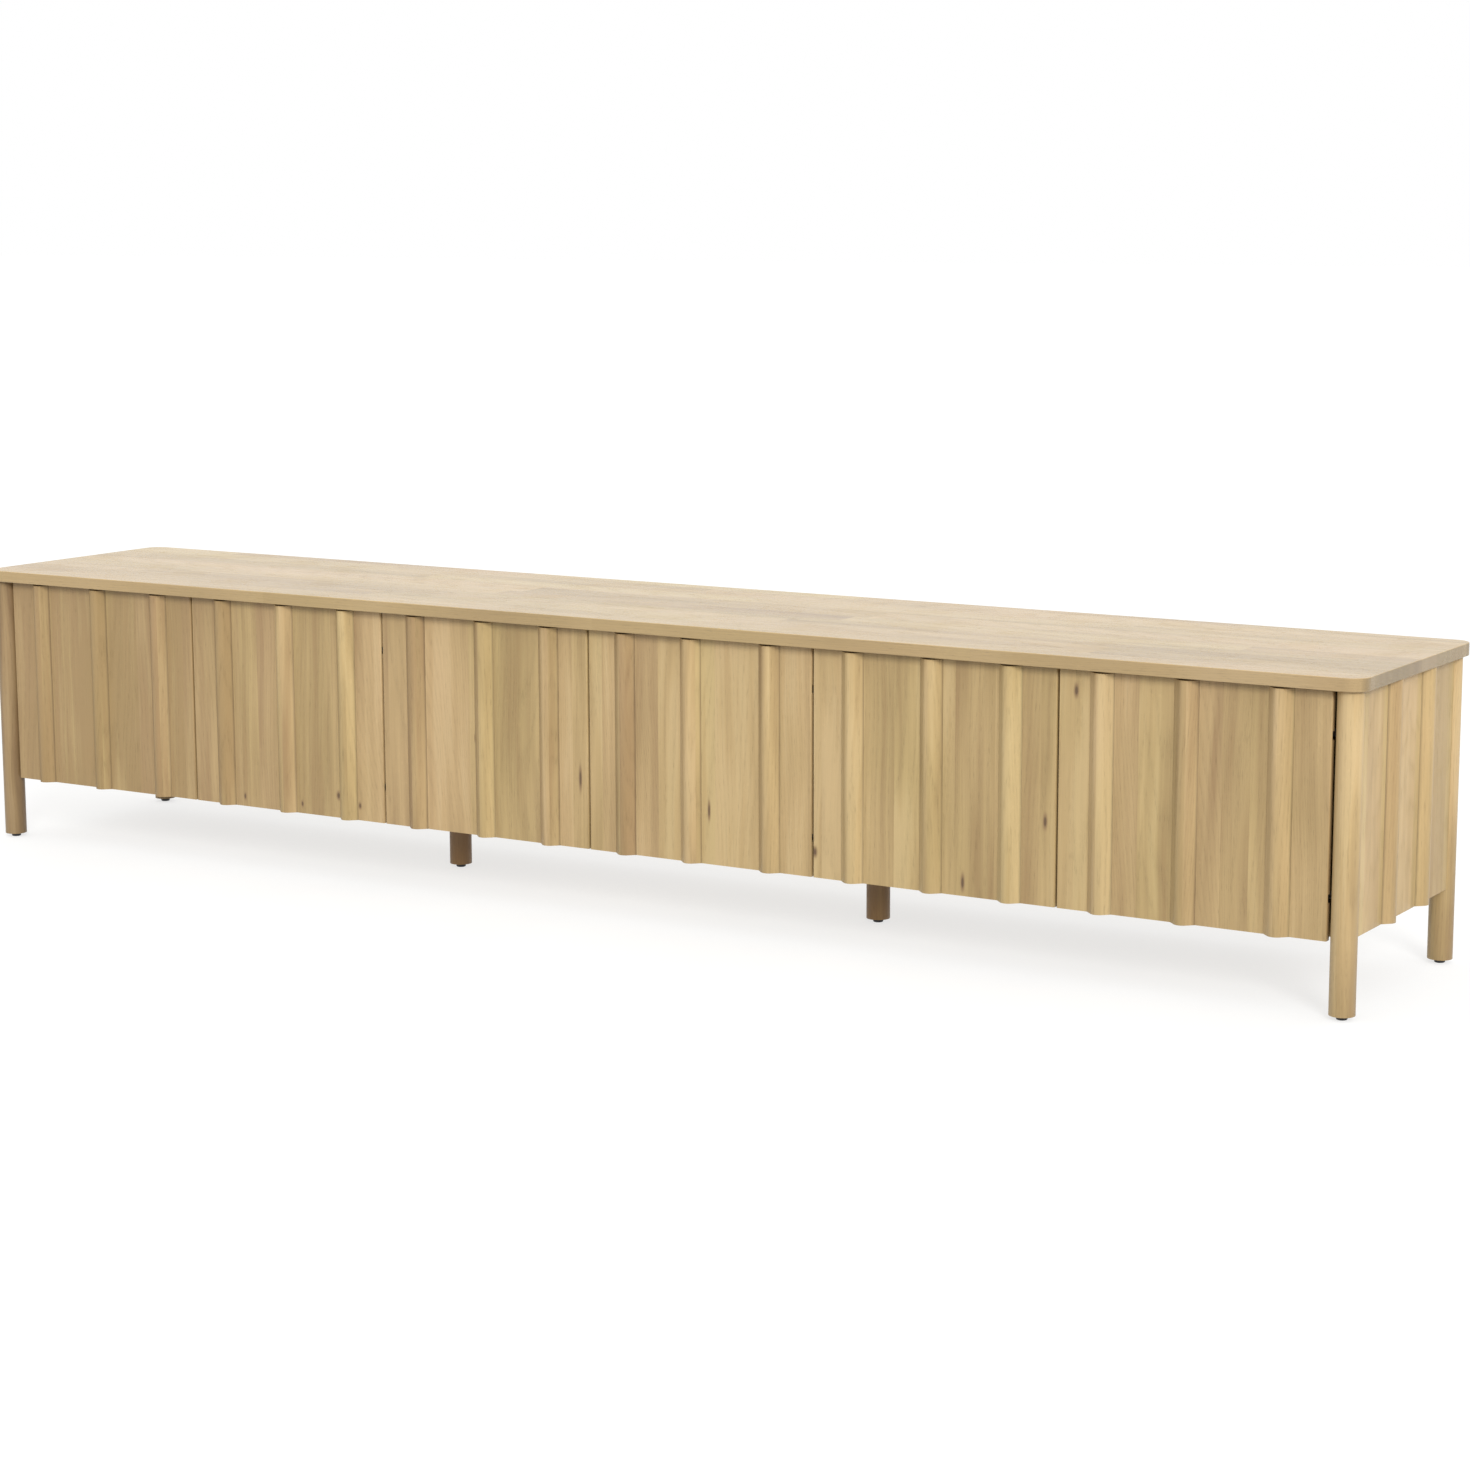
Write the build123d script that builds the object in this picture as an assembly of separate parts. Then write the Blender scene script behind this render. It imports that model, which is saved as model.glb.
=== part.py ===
from build123d import *
import math
import os

# Media cabinet: a low oak carcass on four full-height round corner legs and two short
# middle legs, with six ribbed overlay doors hung in three pairs.
# Millimetres. +X is to the right, -Y is the front, +Z is up.
# The origin is on the floor, in the middle of the footprint.

# ---------------------------------------------------------------- driving dimensions
WIDTH = 2400.0
DEPTH = 420.0
HEIGHT = 450.0

TOP_THICK = 18.0
TOP_EDGE_EASE = 1.2
LEG_R = 17.5
TOP_OVERHANG = 8.0

GLIDE_R = 7.5
GLIDE_HIGH = 6.0
GLIDE_STEM_R = 3.0
GLIDE_STEM_LONG = 18.0
DOWEL_R = 4.0
DOWEL_IN_TOP = 14.0
DOWEL_IN_LEG = 18.0

DOORS = 6
# From one gap between doors to the next; the two outer doors reach on to the legs.
DOOR_PITCH = 382.4
DOOR_BOTTOM = 102.0
DOOR_TOP_GAP = 3.0
DOOR_GAP = 3.0
DOOR_LEG_GAP = 4.0
DOOR_SETBACK = 18.0
DOOR_THICK = 18.0
DOOR_EASE = 2.0
TAIL_BEVEL_ACROSS = 8.0
TAIL_BEVEL_DEEP = 8.0

RIB_WIDE = 36.0
RIB_PROUD = 13.0
RIB_CREST_R = 12.0
RIB_FROM_LEFT = 64.0
RIB_FROM_RIGHT = 69.0
# How far the middle rib stands to the left of the door's centre line, door by door.
MIDDLE_RIB_LEFT = (5.0, 1.0, -2.0, 12.0, 1.0, 8.0)
SIDE_RIB_Y = 63.0

PANEL_THICK = 18.0
CARCASS_BOTTOM = 102.0
CARCASS_FRONT_Y = -169.0
CARCASS_BACK_Y = 169.0
INSET_FRONT_Y = -163.0
SIDE_SKIN_SETBACK = 14.5
SIDE_SKIN_THICK = 16.0
SIDE_SKIN_BOTTOM = 107.0
SIDE_TONGUE = 10.0
PARTITION_EASE = 2.0
RAIL_DEEP = 40.0
RAIL_HIGH = 20.0
BACK_THICK = 8.0

OUTLET_R = 30.0
OUTLET_Z = 205.0
SHELF_Z = 262.0
SHELF_THICK = 18.0
SHELF_FRONT_Y = -148.0
SHELF_BACK_Y = 156.0
SHELF_SIDE_GAP = 1.0
SHELF_PIN_R = 2.5
SHELF_PIN_OUT = 8.0
SHELF_PIN_IN = 7.0
SHELF_PIN_Y = 115.0

HINGE_FROM_EDGE = 20.0
HINGE_FROM_FRONT = 7.0
HINGE_Z = (158.0, 371.0)
HINGE_PIN_R = 2.0
HINGE_CLEARANCE = 0.05
HINGE_PIN_HALF = 12.0
EYE_R = 3.8
EYE_HALF = 5.2
NOTCH_R = 4.3
NOTCH_HALF = 5.7
BLOCK_HALF = 12.0
BLOCK_INBOARD = 9.0
BLOCK_OUTBOARD = 8.0
FLANGE_HALF = 22.0
FLANGE_THICK = 2.0
ARM_THICK = 4.0
CRANK_FRONT_Y = -163.5
CRANK_DEEP = 5.0
PLATE_THICK = 2.5
PLATE_HALF = 20.0
PLATE_BACK_Y = -112.0
SCREW_R = 1.6
SCREW_HEAD_R = 3.2
SCREW_HEAD_HIGH = 1.6
PLATE_SCREW_IN = 7.0
BLOCK_SCREW_IN = 11.0
BLOCK_SCREW_Z = 17.0

LATCH_FROM_FREE_EDGE = 38.0
LATCH_Z = 421.0
LATCH_TUBE_R = 5.0
LATCH_RIM_R = 6.5
LATCH_RIM_HIGH = 1.5
LATCH_CAVITY_LONG = 34.0
PLUNGER_STEM_R = 3.0
PLUNGER_CLEARANCE = 0.05
PLUNGER_HEAD_R = 4.0
PLUNGER_HEAD_HIGH = 3.0
PLUNGER_STEM_LONG = 26.0
PLUNGER_REST_GAP = 0.3

# ---------------------------------------------------------------- derived dimensions
TOP_Z = HEIGHT - TOP_THICK
LEG_X = WIDTH / 2 - TOP_OVERHANG - LEG_R
LEG_Y = DEPTH / 2 - TOP_OVERHANG - LEG_R
LEG_INNER_X = LEG_X - LEG_R
FRONT_Y = -DEPTH / 2 + DOOR_SETBACK
DOOR_BACK_Y = FRONT_Y + DOOR_THICK
DOOR_TOP = TOP_Z - DOOR_TOP_GAP
DOORS_END_X = LEG_INNER_X - DOOR_LEG_GAP
PARTITION_X = DOOR_PITCH
SIDE_SKIN_OUT_X = WIDTH / 2 - SIDE_SKIN_SETBACK
SIDE_SKIN_IN_X = SIDE_SKIN_OUT_X - SIDE_SKIN_THICK
SIDE_IN_X = SIDE_SKIN_IN_X - PANEL_THICK
BOTTOM_TOP_Z = CARCASS_BOTTOM + PANEL_THICK
RAIL_Z = TOP_Z - RAIL_HIGH
BACK_PANEL_Y = CARCASS_BACK_Y - BACK_THICK
HINGE_Y = FRONT_Y + HINGE_FROM_FRONT
SIDE_SKIN_END_Y = LEG_Y - LEG_R + SIDE_TONGUE
SIDE_NAMES = ((-1, "left"), (1, "right"))
BAYS = (
    ("left", -SIDE_IN_X, -PARTITION_X - PANEL_THICK / 2),
    ("centre", -PARTITION_X + PANEL_THICK / 2, PARTITION_X - PANEL_THICK / 2),
    ("right", PARTITION_X + PANEL_THICK / 2, SIDE_IN_X),
)

os.makedirs("parts", exist_ok=True)


# ---------------------------------------------------------------- helpers
def block(x0, x1, y0, y1, z0, z1):
    """A box between two corners, given in any order along X."""
    low, high = min(x0, x1), max(x0, x1)
    centre = Pos((low + high) / 2, (y0 + y1) / 2, (z0 + z1) / 2)
    return centre * Box(high - low, y1 - y0, z1 - z0)


def rod_z(x, y, z0, z1, radius):
    return Pos(x, y, (z0 + z1) / 2) * Cylinder(radius, z1 - z0)


def rod_y(x, z, y0, y1, radius):
    return Pos(x, (y0 + y1) / 2, z) * Rot(90, 0, 0) * Cylinder(radius, y1 - y0)


def rod_x(y, z, x0, x1, radius):
    low, high = min(x0, x1), max(x0, x1)
    return Pos((low + high) / 2, y, z) * Rot(0, 90, 0) * Cylinder(radius, high - low)


def prism_z(points, z0, z1):
    """A closed outline in the XY plane, raised from z0 to z1."""
    outline = Pos(0, 0, z0) * make_face(Polyline(*points, close=True))
    return extrude(outline, amount=z1 - z0, dir=(0, 0, 1))


def one(shape):
    """The single solid of a shape."""
    return shape.solids()[0]


def save(name, *solids):
    """Write one node. Each argument is one physical piece."""
    pieces = [one(solid) for solid in solids]
    whole = pieces[0] if len(pieces) == 1 else Compound(children=pieces)
    whole.label = name
    export_step(whole, f"parts/{name}.step")


def countersunk_screw(length):
    """A screw along -Z from its flat head at the origin."""
    head = Pos(0, 0, -SCREW_HEAD_HIGH / 2) * Cone(SCREW_R, SCREW_HEAD_R, SCREW_HEAD_HIGH)
    shank = rod_z(0, 0, -length, -SCREW_HEAD_HIGH, SCREW_R)
    return head + shank


# ---------------------------------------------------------------- top, legs and feet
def make_top():
    slab = block(-WIDTH / 2, WIDTH / 2, -DEPTH / 2, DEPTH / 2, TOP_Z, HEIGHT)
    slab = fillet(slab.edges().filter_by(Axis.Z), LEG_R + TOP_OVERHANG)
    rims = slab.faces().sort_by(Axis.Z)[0].edges() + slab.faces().sort_by(Axis.Z)[-1].edges()
    slab = fillet(rims, TOP_EDGE_EASE)
    for x in (-LEG_X, LEG_X):
        for y in (-LEG_Y, LEG_Y):
            slab -= rod_z(x, y, TOP_Z, TOP_Z + DOWEL_IN_TOP, DOWEL_R)
    return slab


def side_skin_box(side):
    """The space that a ribbed side skin and its tongues fill."""
    return block(
        side * SIDE_SKIN_IN_X,
        side * SIDE_SKIN_OUT_X,
        -SIDE_SKIN_END_Y,
        SIDE_SKIN_END_Y,
        SIDE_SKIN_BOTTOM,
        TOP_Z,
    )


def carcass_side_box(side):
    return block(
        side * SIDE_IN_X,
        side * SIDE_SKIN_IN_X,
        CARCASS_FRONT_Y,
        CARCASS_BACK_Y,
        CARCASS_BOTTOM,
        TOP_Z,
    )


def make_corner_leg(side, y):
    """A round leg, grooved for the side skin and housed for the carcass side."""
    leg = rod_z(side * LEG_X, y, GLIDE_HIGH, TOP_Z, LEG_R)
    leg -= side_skin_box(side)
    leg -= carcass_side_box(side)
    leg -= rod_z(side * LEG_X, y, TOP_Z - DOWEL_IN_LEG, TOP_Z, DOWEL_R)
    leg -= rod_z(side * LEG_X, y, GLIDE_HIGH, GLIDE_HIGH + GLIDE_STEM_LONG, GLIDE_STEM_R)
    return leg


def make_middle_leg(side):
    x = side * PARTITION_X
    leg = rod_z(x, 0, GLIDE_HIGH, CARCASS_BOTTOM, LEG_R)
    leg -= rod_z(x, 0, CARCASS_BOTTOM - DOWEL_IN_LEG, CARCASS_BOTTOM, DOWEL_R)
    leg -= rod_z(x, 0, GLIDE_HIGH, GLIDE_HIGH + GLIDE_STEM_LONG, GLIDE_STEM_R)
    return leg


def leg_places():
    corners = [(x, y) for x in (-LEG_X, LEG_X) for y in (-LEG_Y, LEG_Y)]
    return corners + [(-PARTITION_X, 0), (PARTITION_X, 0)]


def make_glide(x, y):
    """A nail-on glide: a domed disc on the floor with its stem up the leg."""
    disc = rod_z(x, y, 0, GLIDE_HIGH, GLIDE_R)
    disc = fillet(disc.edges().sort_by(Axis.Z)[0], GLIDE_HIGH / 4)
    return disc + rod_z(x, y, GLIDE_HIGH, GLIDE_HIGH + GLIDE_STEM_LONG, GLIDE_STEM_R)


def make_dowels():
    dowels = []
    for x, y in leg_places():
        joint_z = TOP_Z if y else CARCASS_BOTTOM
        dowels.append(rod_z(x, y, joint_z - DOWEL_IN_LEG, joint_z + DOWEL_IN_TOP, DOWEL_R))
    return dowels


# ---------------------------------------------------------------- ribs and ribbed boards
def rib_outline():
    """The rib's section: straight flanks, tangent to a round crest, on a flat foot."""
    foot = RIB_WIDE / 2
    centre_h = RIB_PROUD - RIB_CREST_R
    reach = math.hypot(foot, centre_h)
    flank = math.asin(RIB_CREST_R / reach) + math.atan2(centre_h, foot)
    touch_x = RIB_CREST_R * math.sin(flank)
    touch_h = centre_h + RIB_CREST_R * math.cos(flank)
    left = Line((-foot, 0), (-touch_x, touch_h))
    crest = ThreePointArc((-touch_x, touch_h), (0, RIB_PROUD), (touch_x, touch_h))
    right = Line((touch_x, touch_h), (foot, 0))
    base = Line((foot, 0), (-foot, 0))
    return make_face([left, crest, right, base])


def make_rib(x, y, turn, z0, z1):
    """An upright rib whose foot is centred on (x, y); turn swings its crest from +Y."""
    return extrude(Pos(x, y, z0) * Rot(0, 0, turn) * rib_outline(), amount=z1 - z0, dir=(0, 0, 1))


def make_side_boards(side):
    joints = (-SIDE_SKIN_END_Y, -SIDE_RIB_Y, SIDE_RIB_Y, SIDE_SKIN_END_Y)
    x_in, x_out = side * SIDE_SKIN_IN_X, side * SIDE_SKIN_OUT_X
    return [block(x_in, x_out, y0, y1, SIDE_SKIN_BOTTOM, TOP_Z) for y0, y1 in zip(joints, joints[1:])]


def make_side_ribs(side):
    x = side * SIDE_SKIN_OUT_X
    return [
        make_rib(x, y, -90 * side, SIDE_SKIN_BOTTOM, TOP_Z) for y in (-SIDE_RIB_Y, SIDE_RIB_Y)
    ]


# ---------------------------------------------------------------- carcass
def make_rail(y0):
    return block(-SIDE_IN_X, SIDE_IN_X, y0, y0 + RAIL_DEEP, RAIL_Z, TOP_Z)


def make_partition(x):
    panel = block(
        x - PANEL_THICK / 2, x + PANEL_THICK / 2, CARCASS_FRONT_Y, CARCASS_BACK_Y, BOTTOM_TOP_Z, TOP_Z
    )
    front = panel.edges().filter_by(Axis.Z).sort_by(Axis.Y)[:2]
    panel = chamfer(front, PARTITION_EASE)
    panel -= make_rail(INSET_FRONT_Y)
    panel -= make_rail(BACK_PANEL_Y - RAIL_DEEP)
    return panel


def make_bottom():
    panel = block(
        -SIDE_IN_X, SIDE_IN_X, INSET_FRONT_Y, CARCASS_BACK_Y, CARCASS_BOTTOM, BOTTOM_TOP_Z
    )
    for side in (-1, 1):
        x = side * PARTITION_X
        panel -= rod_z(x, 0, CARCASS_BOTTOM, CARCASS_BOTTOM + DOWEL_IN_TOP, DOWEL_R)
    return panel


def make_back(x0, x1):
    panel = block(x0, x1, BACK_PANEL_Y, CARCASS_BACK_Y, BOTTOM_TOP_Z, TOP_Z)
    return panel - rod_y((x0 + x1) / 2, OUTLET_Z, BACK_PANEL_Y, CARCASS_BACK_Y, OUTLET_R)


def make_shelf(x0, x1):
    shelf = block(
        x0 + SHELF_SIDE_GAP,
        x1 - SHELF_SIDE_GAP,
        SHELF_FRONT_Y,
        SHELF_BACK_Y,
        SHELF_Z,
        SHELF_Z + SHELF_THICK,
    )
    return fillet(shelf.edges().filter_by(Axis.X).sort_by(Axis.Y)[:2], TOP_EDGE_EASE)


def shelf_pin(wall_x, inward, y):
    """A shelf support: inward is +1 where the bay lies to the right of the wall."""
    z = SHELF_Z - SHELF_PIN_R
    return rod_x(y, z, wall_x - inward * SHELF_PIN_IN, wall_x + inward * SHELF_PIN_OUT, SHELF_PIN_R)


def make_shelf_pins():
    pins = []
    for _, x0, x1 in BAYS:
        for y in (-SHELF_PIN_Y, SHELF_PIN_Y):
            pins.append(shelf_pin(x0, 1, y))
            pins.append(shelf_pin(x1, -1, y))
    return pins


# ---------------------------------------------------------------- hinges
# side is +1 where the door hangs from its right-hand edge and -1 from its left.
def door_left(index):
    if index == 0:
        return -DOORS_END_X
    return (index - DOORS / 2) * DOOR_PITCH + DOOR_GAP / 2


def door_right(index):
    if index == DOORS - 1:
        return DOORS_END_X
    return door_left(index + 1) - DOOR_GAP


def door_side(index):
    return 1 if index % 2 else -1


def hinge_x(index):
    edge = door_right(index) if door_side(index) > 0 else door_left(index)
    return edge - door_side(index) * HINGE_FROM_EDGE


def wall_x(index):
    """The face of the carcass side or partition that a door's arms are screwed to."""
    bay = BAYS[index // 2]
    return bay[2] if door_side(index) > 0 else bay[1]


def notch(x, side, z, reach):
    """The space that the fixed arm needs as the door swings past it."""
    return block(
        x - side * NOTCH_R, x + side * reach, HINGE_Y - NOTCH_R, DOOR_BACK_Y, z - NOTCH_HALF, z + NOTCH_HALF
    )


def hinge_block_blank(x, side, z):
    """The outside of the hinge block: a clevis body with a screw flange at the back."""
    x0, x1 = x - side * BLOCK_INBOARD, x + side * BLOCK_OUTBOARD
    body = block(x0, x1, HINGE_Y - NOTCH_R, DOOR_BACK_Y, z - BLOCK_HALF, z + BLOCK_HALF)
    flange = block(x0, x1, DOOR_BACK_Y - FLANGE_THICK, DOOR_BACK_Y, z - FLANGE_HALF, z + FLANGE_HALF)
    return body + flange


def block_screws(x, z):
    screw = Rot(-90, 0, 0) * countersunk_screw(BLOCK_SCREW_IN)
    return [Pos(x, DOOR_BACK_Y, z + dz) * screw for dz in (-BLOCK_SCREW_Z, BLOCK_SCREW_Z)]


def make_hinge_block(x, side, z):
    body = hinge_block_blank(x, side, z) - notch(x, side, z, BLOCK_OUTBOARD)
    body -= rod_z(x, HINGE_Y, z - HINGE_PIN_HALF, z + HINGE_PIN_HALF, HINGE_PIN_R)
    for screw in block_screws(x, z):
        body -= screw
    return body


def make_hinge_pin(x, z):
    return rod_z(x, HINGE_Y, z - HINGE_PIN_HALF, z + HINGE_PIN_HALF, HINGE_PIN_R)


def plate_screws(index, z):
    """The two countersunk screws that hold an arm's plate to its wall."""
    side = door_side(index)
    face = wall_x(index) - side * PLATE_THICK
    screw = Rot(0, -90 * side, 0) * countersunk_screw(PLATE_THICK + PLATE_SCREW_IN)
    middle_y = (CRANK_FRONT_Y + CRANK_DEEP + PLATE_BACK_Y) / 2
    return [Pos(face, middle_y, z + dz) * screw for dz in (-PLATE_HALF / 2, PLATE_HALF / 2)]


def make_hinge_arm(index, z):
    """A fixed arm: the eye round the pin, a straight bar, a crank and a screwed plate."""
    x, side, wall = hinge_x(index), door_side(index), wall_x(index)
    crank_back_y = CRANK_FRONT_Y + CRANK_DEEP
    eye = rod_z(x, HINGE_Y, z - EYE_HALF, z + EYE_HALF, EYE_R)
    bar = block(x - ARM_THICK / 2, x + ARM_THICK / 2, HINGE_Y, crank_back_y, z - EYE_HALF, z + EYE_HALF)
    crank = block(
        x - side * ARM_THICK / 2, wall, CRANK_FRONT_Y, crank_back_y, z - EYE_HALF, z + EYE_HALF
    )
    plate = block(
        wall - side * PLATE_THICK, wall, CRANK_FRONT_Y, PLATE_BACK_Y, z - PLATE_HALF, z + PLATE_HALF
    )
    plate = fillet(plate.edges().filter_by(Axis.X), EYE_R)
    arm = eye + bar + crank + plate
    arm -= rod_z(x, HINGE_Y, z - EYE_HALF, z + EYE_HALF, HINGE_PIN_R + HINGE_CLEARANCE)
    for screw in plate_screws(index, z):
        arm -= screw
    return arm


# ---------------------------------------------------------------- touch latches
def latch_x(index):
    free_edge = door_left(index) if door_side(index) > 0 else door_right(index)
    return free_edge + door_side(index) * LATCH_FROM_FREE_EDGE


def make_latch_housing(x):
    """A tube let into the front rail, open at the front for its plunger."""
    tube = rod_y(x, LATCH_Z, INSET_FRONT_Y, INSET_FRONT_Y + RAIL_DEEP, LATCH_TUBE_R)
    rim = rod_y(x, LATCH_Z, INSET_FRONT_Y - LATCH_RIM_HIGH, INSET_FRONT_Y, LATCH_RIM_R)
    rim = fillet(rim.edges().sort_by(Axis.Y)[0], LATCH_RIM_HIGH / 2)
    cavity_r = PLUNGER_STEM_R + PLUNGER_CLEARANCE
    cavity_y = INSET_FRONT_Y - LATCH_RIM_HIGH
    return tube + rim - rod_y(x, LATCH_Z, cavity_y, cavity_y + LATCH_CAVITY_LONG, cavity_r)


def make_plunger(x):
    """The sprung plunger; its head rests just clear of the closed door's back."""
    tip_y = DOOR_BACK_Y + PLUNGER_REST_GAP
    neck_y = tip_y + PLUNGER_HEAD_HIGH
    head = rod_y(x, LATCH_Z, tip_y, neck_y, PLUNGER_HEAD_R)
    head = fillet(head.edges().sort_by(Axis.Y)[0], PLUNGER_HEAD_HIGH / 3)
    return head + rod_y(x, LATCH_Z, neck_y, neck_y + PLUNGER_STEM_LONG, PLUNGER_STEM_R)


def make_front_rail():
    rail = make_rail(INSET_FRONT_Y)
    for index in range(DOORS):
        rail -= rod_y(latch_x(index), LATCH_Z, INSET_FRONT_Y, INSET_FRONT_Y + RAIL_DEEP, LATCH_TUBE_R)
    return rail


# ---------------------------------------------------------------- doors
def rib_places(index):
    left, right = door_left(index), door_right(index)
    middle = (left + right) / 2 - MIDDLE_RIB_LEFT[index]
    return (left + RIB_FROM_LEFT, middle, right - RIB_FROM_RIGHT)


def tail_bevel(index):
    """The wedge taken off the back of the hinge edge, so that it swings clear."""
    side = door_side(index)
    edge = hinge_x(index) + side * HINGE_FROM_EDGE
    corner = (edge, DOOR_BACK_Y)
    across = (edge - side * TAIL_BEVEL_ACROSS, DOOR_BACK_Y)
    deep = (edge, DOOR_BACK_Y - TAIL_BEVEL_DEEP)
    return prism_z((corner, across, deep), DOOR_BOTTOM, DOOR_TOP)


def make_door_boards(index):
    """Four upright boards, jointed under the ribs, with the two hinge pockets."""
    joints = (door_left(index), *rib_places(index), door_right(index))
    boards = [
        block(x0, x1, FRONT_Y, DOOR_BACK_Y, DOOR_BOTTOM, DOOR_TOP) for x0, x1 in zip(joints, joints[1:])
    ]
    boards[0] = ease_front_edge(boards[0], 0)
    boards[-1] = ease_front_edge(boards[-1], -1)
    hung = -1 if door_side(index) > 0 else 0
    boards[hung] -= tail_bevel(index)
    for z in HINGE_Z:
        x, side = hinge_x(index), door_side(index)
        boards[hung] -= hinge_block_blank(x, side, z)
        boards[hung] -= notch(x, side, z, HINGE_FROM_EDGE)
        boards[hung] -= rod_z(x, HINGE_Y, z - HINGE_PIN_HALF, z + HINGE_PIN_HALF, HINGE_PIN_R)
        for screw in block_screws(x, z):
            boards[hung] -= screw
    return boards


def ease_front_edge(board, end):
    """Round the upright front edge at the board's left (0) or right (-1) end."""
    uprights = board.edges().filter_by(Axis.Z).sort_by(Axis.Y)[:2]
    return fillet(uprights.sort_by(Axis.X)[end], DOOR_EASE)


def make_door_ribs(index):
    return [make_rib(x, FRONT_Y, 180, DOOR_BOTTOM, DOOR_TOP) for x in rib_places(index)]


def save_door(index):
    name = f"door_{index + 1}"
    x, side = hinge_x(index), door_side(index)
    save(f"{name}_boards", *make_door_boards(index))
    save(f"{name}_ribs", *make_door_ribs(index))
    hardware = [make_hinge_block(x, side, z) for z in HINGE_Z]
    for z in HINGE_Z:
        hardware += block_screws(x, z)
    save(f"{name}_hinge_blocks", *hardware)
    save(f"{name}_hinge_pins", *[make_hinge_pin(x, z) for z in HINGE_Z])


# ---------------------------------------------------------------- the whole cabinet
save("top_panel", make_top())
for side, side_name in SIDE_NAMES:
    save(f"leg_front_{side_name}", make_corner_leg(side, -LEG_Y))
    save(f"leg_back_{side_name}", make_corner_leg(side, LEG_Y))
    save(f"leg_middle_{side_name}", make_middle_leg(side))
    save(f"side_boards_{side_name}", *make_side_boards(side))
    save(f"side_ribs_{side_name}", *make_side_ribs(side))
    carcass_side = carcass_side_box(side)
    partition = make_partition(side * PARTITION_X)
    for pin in make_shelf_pins():
        carcass_side -= pin
        partition -= pin
    for index in range(DOORS):
        for z in HINGE_Z:
            for screw in plate_screws(index, z):
                carcass_side -= screw
                partition -= screw
    save(f"carcass_side_{side_name}", carcass_side)
    save(f"partition_{side_name}", partition)
save("leg_glides", *[make_glide(x, y) for x, y in leg_places()])
save("leg_dowels", *make_dowels())
save("bottom_panel", make_bottom())
save("top_rail_front", make_front_rail())
save("top_rail_back", make_rail(BACK_PANEL_Y - RAIL_DEEP))
for bay_name, bay_x0, bay_x1 in BAYS:
    save(f"back_panel_{bay_name}", make_back(bay_x0, bay_x1))
    save(f"shelf_{bay_name}", make_shelf(bay_x0, bay_x1))
save("shelf_pins", *make_shelf_pins())
save("hinge_arms", *[make_hinge_arm(index, z) for index in range(DOORS) for z in HINGE_Z])
save("hinge_screws", *[s for index in range(DOORS) for z in HINGE_Z for s in plate_screws(index, z)])
save("latch_housings", *[make_latch_housing(latch_x(index)) for index in range(DOORS)])
for index in range(DOORS):
    save_door(index)
    save(f"latch_plunger_{index + 1}", make_plunger(latch_x(index)))
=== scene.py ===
import math
from collections import namedtuple

import bpy
from mathutils import Matrix, Vector


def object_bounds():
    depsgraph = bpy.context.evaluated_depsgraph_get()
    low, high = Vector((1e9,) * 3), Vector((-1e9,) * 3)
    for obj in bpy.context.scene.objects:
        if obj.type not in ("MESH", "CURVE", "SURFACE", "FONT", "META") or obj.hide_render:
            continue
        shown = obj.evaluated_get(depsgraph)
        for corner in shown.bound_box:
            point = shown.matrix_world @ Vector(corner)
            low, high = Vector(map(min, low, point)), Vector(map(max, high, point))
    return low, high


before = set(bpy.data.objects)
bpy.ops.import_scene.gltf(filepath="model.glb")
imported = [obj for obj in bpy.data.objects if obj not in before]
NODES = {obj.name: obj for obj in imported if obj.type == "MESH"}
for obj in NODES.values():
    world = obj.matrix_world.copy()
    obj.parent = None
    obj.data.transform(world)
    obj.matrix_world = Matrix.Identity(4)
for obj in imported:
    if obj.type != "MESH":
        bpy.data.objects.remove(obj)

# The looks of the oak media cabinet. Metres, in the row's frame: +X right, -Y front, +Z up.
CAD_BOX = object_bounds()

# ---------------------------------------------------------------- driving values
DOOR_PITCH = 0.3824
DOOR_SETBACK = 0.018
SIDE_SETBACK = 0.0145
RIBS_PER_DOOR = 3

# How wide the boards are: on a door one to a rib, and on a side as far apart as its ribs.
DOOR_BOARD = DOOR_PITCH / RIBS_PER_DOOR
SIDE_BOARD = 0.126
SHELF_BOARD = 0.2
BACK_BOARD = 0.16
TOP_BOARD = 0.14
LEG_BOARD = 0.9

# Wider than a rib or a leg is, so that each is one stave.
RIB_STAVE = 0.5
LEG_STAVE = 0.6

# How far out the flat faces lie that the ribs stand on.
DOOR_FACE = CAD_BOX[1].y - DOOR_SETBACK
SIDE_FACE = CAD_BOX[1].x - SIDE_SETBACK

# Where the boards of a door change tone, as parts of its width: at the rib centres for the
# flats, and between the ribs for the ribs.
FLAT_STARTS = (0.0, 0.215, 0.50, 0.77)
RIB_STARTS = (0.0, 0.36, 0.63)

# How brown each door's four flats and three ribs are, from 0, palest, to 1, brownest.
DOOR_TONES = (
    ((0.98, 0.94, 0.98, 0.88), (1.05, 0.95, 1.02)),
    ((0.76, 0.60, 0.54, 0.52), (0.80, 0.52, 0.42)),
    ((0.74, 0.36, 0.58, 0.40), (1.00, 0.62, 0.60)),
    ((0.30, 0.42, 0.08, 0.22), (0.68, 0.34, 0.42)),
    ((0.20, 0.38, 0.54, 0.40), (0.12, 0.42, 0.06)),
    ((0.36, 0.42, 0.56, 0.46), (0.16, 0.46, 0.16)),
)

# The same for the sides, from front to back, as parts of this reach in y.
SIDE_REACH = (-0.25, 0.25)
SIDE_FLATS = ((0.0, 0.36), (0.374, 0.44), (0.626, 0.60))
SIDE_RIBS = ((0.0, 0.44), (0.5, 0.54))

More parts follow.
